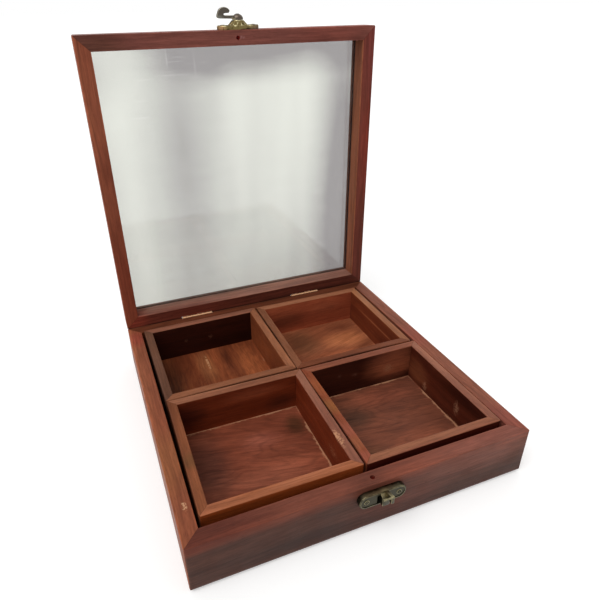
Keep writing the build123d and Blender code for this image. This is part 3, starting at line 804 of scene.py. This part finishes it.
# Clasp plate: an oblong casting whose fluted bell carries the hook. A flute takes in the points whose turn is
# within fluteShare of a whole number, by the shares given for the bell's lower levels
claspPlate = {
    "length": 28.2, "width": 9.2, "thickness": 2.7, "edge": 0.8, "edgeSteps": 4, "rim": 0.45, "sunk": 0.3,
    "borders": [0.3], "nails": (20.6, 2.7), "scallop": 3.0, "scallopDepth": 0.1, "scallopCuts": 23,
    "bell": [(7.7, 4.35, 1.7), (6.9, 4.3, 2.9), (6.0, 4.2, 3.5), (5.2, 4.1, 4.2), (4.5, 4.0, 4.9), (4.1, 4.0, 5.3),
             (4.0, 3.9, 5.42), (3.3, 3.3, 5.48)],
    "flutes": 16, "fluteDepth": 0.17, "fluteShares": [1.0, 0.7, 0.35], "fluteSquash": 1.8,
}


def inGroove(turn):
    return abs(turn - round(turn)) < 0.3


def oblongPlate(name, values):
    # A disc whose two halves are drawn apart to the plate's length
    half = values["width"] / 2
    piece = startPiece(name, bpy.ops.mesh.primitive_cylinder_add, vertices=64, radius=half,
                       depth=values["thickness"], location=(0, 0, values["thickness"] / 2))
    for side in (-1, 1):
        pick(piece, "VERT", lambda place: place.x * side > closeBy)
        bpy.ops.transform.translate(value=(side * (values["length"] / 2 - half), 0, 0))
    return piece


def sinkFace(piece, values):
    # Rounds the plate's front edge and sinks its face inside a rim
    top = values["thickness"]
    pick(piece, "FACE", lambda place: place.z > top - closeBy)
    bpy.ops.mesh.bevel(offset=values["edge"], segments=values["edgeSteps"], affect="EDGES")
    pick(piece, "FACE", lambda place: place.z > top - closeBy / 10 and abs(place.y) < 0.5)
    bpy.ops.mesh.inset(thickness=values["rim"])
    bpy.ops.mesh.extrude_region_move(TRANSFORM_OT_translate={"value": (0, 0, -values["sunk"])})
    for border in values["borders"]:
        bpy.ops.mesh.inset(thickness=border)
    tidyShell()


def scallopEdge(piece, values):
    # Draws the rim in at even steps along it, so that it is lobed like a pie crust
    half = values["width"] / 2
    run = values["length"] / 2 - half
    pick(piece, "EDGE", lambda place: abs(place.x) < closeBy and abs(place.y) > half - closeBy)
    bpy.ops.mesh.subdivide(number_cuts=values["scallopCuts"])
    for side in (-1, 0, 1):
        def groove(place):
            across = abs(place.x) - run
            if (across > closeBy) != (side != 0) or place.x * side < 0:
                return False
            along = run + half * math.atan2(across, abs(place.y)) if side else abs(place.x)
            return inGroove(along / values["scallop"])
        pick(piece, "VERT", groove)
        shrink = 1 - values["scallopDepth"]
        bpy.ops.transform.resize(value=(shrink if side else 1, shrink, 1), center_override=(side * run, 0, 0))


def makeClaspPlate(values):
    piece = oblongPlate("clasp_plate_casting", values)
    scallopEdge(piece, values)
    sinkFace(piece, values)
    rings = values["bell"]
    width, height, level = rings[0]
    bell = startPiece("bell", bpy.ops.mesh.primitive_circle_add, vertices=72, radius=1, location=(0, 0, level))
    bpy.ops.transform.resize(value=(width, height, 1), center_override=(0, 0, level))
    raiseRings(rings)
    bpy.ops.mesh.edge_face_add()
    for share, (width, height, level) in zip(values["fluteShares"], rings[1:]):
        def groove(place):
            turn = math.atan2(place.y * values["fluteSquash"], place.x) / (2 * math.pi) * values["flutes"]
            return inGroove(turn) and abs(place.z - level) < closeBy
        pick(bell, "VERT", groove)
        shrink = 1 - values["fluteDepth"] * share
        bpy.ops.transform.resize(value=(shrink, shrink, 1), center_override=(0, 0, level))
    tidyShell()
    only(bell)
    applyModifier(bell, "soften", "SUBSURF", levels=1, render_levels=1)
    joinPieces(piece, bell)
    settle(piece, lidSeat, ["clasp_lid_plate"])


# Ring-headed nails of both plates. A plate says how far apart its two are and at which level they start
claspNail = [(1.55, 0.0), (1.55, 0.16), (1.4, 0.28), (1.2, 0.28), (1.02, 0.08), (0.84, 0.06), (0.6, 0.2), (0.25, 0.27)]


def makeNails(name, apart, level, seat, stands):
    # One nail is modelled, and the other is a copy of it with a mesh of its own
    rings = [(radius, level + height) for radius, height in claspNail]
    nail = roundPiece(name, rings, 32, "NOTHING", (-apart / 2, 0))
    bpy.ops.mesh.edge_face_add()
    pick(nail, "VERT", lambda place: place.z < level + closeBy / 10)
    bpy.ops.mesh.edge_face_add()
    tidyShell()
    only(nail)
    bpy.ops.object.duplicate(linked=False)
    twin = bpy.context.object
    twin.location = (apart, 0, 0)
    bpy.ops.object.transform_apply(location=True, rotation=True, scale=True)
    joinPieces(nail, twin)
    settle(nail, seat, stands)


# Swinging hook: a domed cap, an arm along -X and a claw that curls back over it. Each section is an inner
# and an outer point seen from the side, and a width
claspHook = {
    "cap": [(3.4, 5.58), (3.65, 5.7), (3.7, 6.1), (3.66, 6.7), (3.42, 7.3), (3.0, 7.9), (2.4, 8.45), (1.75, 8.82)],
    "claw": [
        ((-1.0, 8.3), (-1.0, 6.2), 3.4), ((-3.2, 8.3), (-3.2, 6.2), 3.3), ((-5.5, 8.3), (-5.5, 6.35), 2.9),
        ((-7.6, 8.33), (-7.9, 6.4), 2.8), ((-8.8, 8.42), (-10.2, 6.5), 2.9), ((-9.25, 8.6), (-13.7, 6.6), 3.0),
        ((-9.3, 8.85), (-14.2, 7.9), 3.0), ((-9.3, 9.1), (-13.3, 10.0), 3.0), ((-9.0, 9.35), (-12.5, 11.9), 3.0),
        ((-8.4, 9.5), (-10.7, 12.98), 3.0), ((-7.5, 9.55), (-8.3, 13.22), 2.9), ((-6.7, 9.6), (-6.5, 12.55), 2.7),
        ((-6.1, 9.6), (-5.3, 11.5), 2.4), ((-5.8, 9.62), (-5.05, 10.5), 2.0),
    ],
    "corner": 0.5,
}


def makeHook(values):
    def measure(section):
        (innerX, innerZ), (outerX, outerZ), width = section
        middle = ((innerX + outerX) / 2, 0, (innerZ + outerZ) / 2)
        rise, run = outerZ - innerZ, outerX - innerX
        return middle, math.hypot(run, rise), math.atan2(rise, run), width

    middle, length, lean, width = measure(values["claw"][0])
    claw = startPiece("clasp_hook_casting", bpy.ops.mesh.primitive_plane_add, size=1, location=middle)
    bpy.ops.transform.resize(value=(length, width, 1), center_override=middle)
    bpy.ops.transform.rotate(value=lean, orient_axis="Y", center_override=middle)
    bpy.ops.mesh.bevel(offset=values["corner"], segments=2, affect="VERTICES")
    for section in values["claw"][1:]:
        place, reach, turn, broad = measure(section)
        step = [new - old for new, old in zip(place, middle)]
        swing = (turn - lean + math.pi) % (2 * math.pi) - math.pi
        bpy.ops.mesh.extrude_region_move(TRANSFORM_OT_translate={"value": step})
        bpy.ops.transform.rotate(value=swing, orient_axis="Y", center_override=place)
        size = (reach / length, broad / width, reach / length)
        bpy.ops.transform.resize(value=size, center_override=place)
        middle, length, lean, width = place, reach, turn, broad
    tidyShell()
    only(claw)
    applyModifier(claw, "soften", "SUBSURF", levels=2, render_levels=2)
    cap = roundPiece("cap", values["cap"], 48, "NGON")
    tidyShell()
    joinPieces(claw, cap)
    settle(claw, hookSeat, ["clasp_hook"])


# Rivet: the low button in the middle of the cap
claspRivet = [(1.3, 8.6), (1.52, 8.86), (1.46, 9.0), (1.1, 9.16), (0.5, 9.25)]


def makeRivet(rings):
    rivet = roundPiece("clasp_rivet_head", rings, 32, "NGON")
    tidyShell()
    settle(rivet, rivetSeat, ["clasp_rivet"])


# Catch plate: an oblong casting with a raised rim, a hood beside its dark mouth, and the finger that holds the
# hook. A block is a low corner, a high corner, a rounding with its steps, and how far the back of its top leans
catchPlate = {
    "length": 28.0, "width": 9.0, "thickness": 3.2, "edge": 0.5, "edgeSteps": 3, "rim": 0.4, "sunk": 0.3,
    "borders": [0.25, 0.25], "nails": (19.3, 2.9),
    "mouth": ((-3.5, -3.6, 0.5), (-1.4, 2.0, 6.0), 0.7, 4),
    "hood": ((-1.6, -4.0, 1.5), (2.8, 4.0, 5.4), 0.35, 3, 2.8),
    "stem": ((1.0, 0.9, 1.8), (2.8, 5.9, 9.2), 0.3, 3), "footLean": 2.1,
    "finger": ((-3.4, 4.62, 8.55), (2.6, 5.75, 9.25), 0.2, 3),
}


def roundedBlock(name, low, high, edge, steps, topLean=0):
    middle = [(a + b) / 2 for a, b in zip(low, high)]
    block = startPiece(name, bpy.ops.mesh.primitive_cube_add, size=1, location=middle)
    bpy.ops.transform.resize(value=[b - a for a, b in zip(low, high)], center_override=middle)
    if topLean:
        pick(block, "VERT", lambda place: place.z > high[2] - 0.1 and place.y > 0)
        bpy.ops.transform.translate(value=(0, -topLean, 0))
        bpy.ops.mesh.select_all(action="SELECT")
    bpy.ops.mesh.bevel(offset=edge, segments=steps, affect="EDGES")
    return block


def makeCatchPlate(values):
    piece = oblongPlate("clasp_catch_casting", values)
    sinkFace(piece, values)
    cutter = roundedBlock("mouth", *values["mouth"])
    tidyShell()
    only(piece)
    applyModifier(piece, "mouth", "BOOLEAN", operation="DIFFERENCE", object=cutter, solver="EXACT")
    bpy.data.objects.remove(cutter)
    hood = roundedBlock("hood", *values["hood"])
    tidyShell()
    stem = roundedBlock("stem", *values["stem"])
    pick(stem, "VERT", lambda place: place.z < 3 and place.y > 5)
    bpy.ops.transform.translate(value=(0, -values["footLean"], 0))
    tidyShell()
    finger = roundedBlock("finger", *values["finger"])
    tidyShell()
    joinPieces(piece, hood, stem, finger)
    settle(piece, catchSeat, ["clasp_catch_plate"])


makeClaspPlate(claspPlate)
makeNails("clasp_plate_nail_heads", *claspPlate["nails"], lidSeat, ["clasp_lid_nails"])
makeHook(claspHook)
makeRivet(claspRivet)
makeCatchPlate(catchPlate)
makeNails("clasp_catch_nail_heads", *catchPlate["nails"], catchSeat, ["clasp_catch_nails"])
print("clasp modelled")


# Floor, world and lights
studioValues = {
    "floorSize": 40.0, "floorColour": (0.8, 0.8, 0.795, 1), "floorRoughness": 0.9, "floorLift": 0.3,
    "worldStrength": 0.5,
    "key": {"towards": (-0.5, -0.3, 1.0), "strength": 1.7, "angle": 50},
    "fill": {"towards": (0.5, 0.6, 0.9), "strength": 0.35, "angle": 80},
}


def seenDirectly(tree):
    # 1 for rays that carry the background straight to the eye, through glass or in a reflection
    path = put(tree, "LightPath").outputs
    seen = calc(tree, "ADD", path["Is Camera Ray"], path["Is Glossy Ray"], clamp=True)
    return calc(tree, "ADD", seen, path["Is Transmission Ray"], clamp=True)


def makeFloor(values):
    bpy.ops.mesh.primitive_plane_add(size=values["floorSize"], location=(0, 0, 0))
    floor = bpy.context.object
    floor.name = "studio_floor"
    material, tree, shader = newMaterial("studio_floor")
    fill(tree, shader, {
        "Base Color": values["floorColour"], "Roughness": values["floorRoughness"], "Specular IOR Level": 0.0,
        "Emission Color": (1, 1, 1, 1), "Emission Strength": times(tree, seenDirectly(tree), values["floorLift"]),
    })
    dress(floor, material)


def makeWorld(values):
    world = bpy.data.worlds.new("studio")
    bpy.context.scene.world = world
    world.use_nodes = True
    tree = world.node_tree
    direct = times(tree, seenDirectly(tree), 1 - values["worldStrength"])
    fill(tree, tree.nodes["Background"], {
        "Color": (1, 1, 1, 1), "Strength": calc(tree, "ADD", direct, values["worldStrength"]),
    })


def makeLamp(name, values):
    data = bpy.data.lights.new(name, "SUN")
    data.energy = values["strength"]
    data.angle = math.radians(values["angle"])
    lamp = bpy.data.objects.new(name, data)
    lamp.rotation_euler = Vector(values["towards"]).to_track_quat("Z", "Y").to_euler()
    bpy.context.scene.collection.objects.link(lamp)


bpy.ops.object.select_all(action="DESELECT")
makeFloor(studioValues)
makeWorld(studioValues)
makeLamp("key", studioValues["key"])
makeLamp("fill", studioValues["fill"])
bpy.context.scene.view_settings.view_transform = "Standard"
print("studio ready")
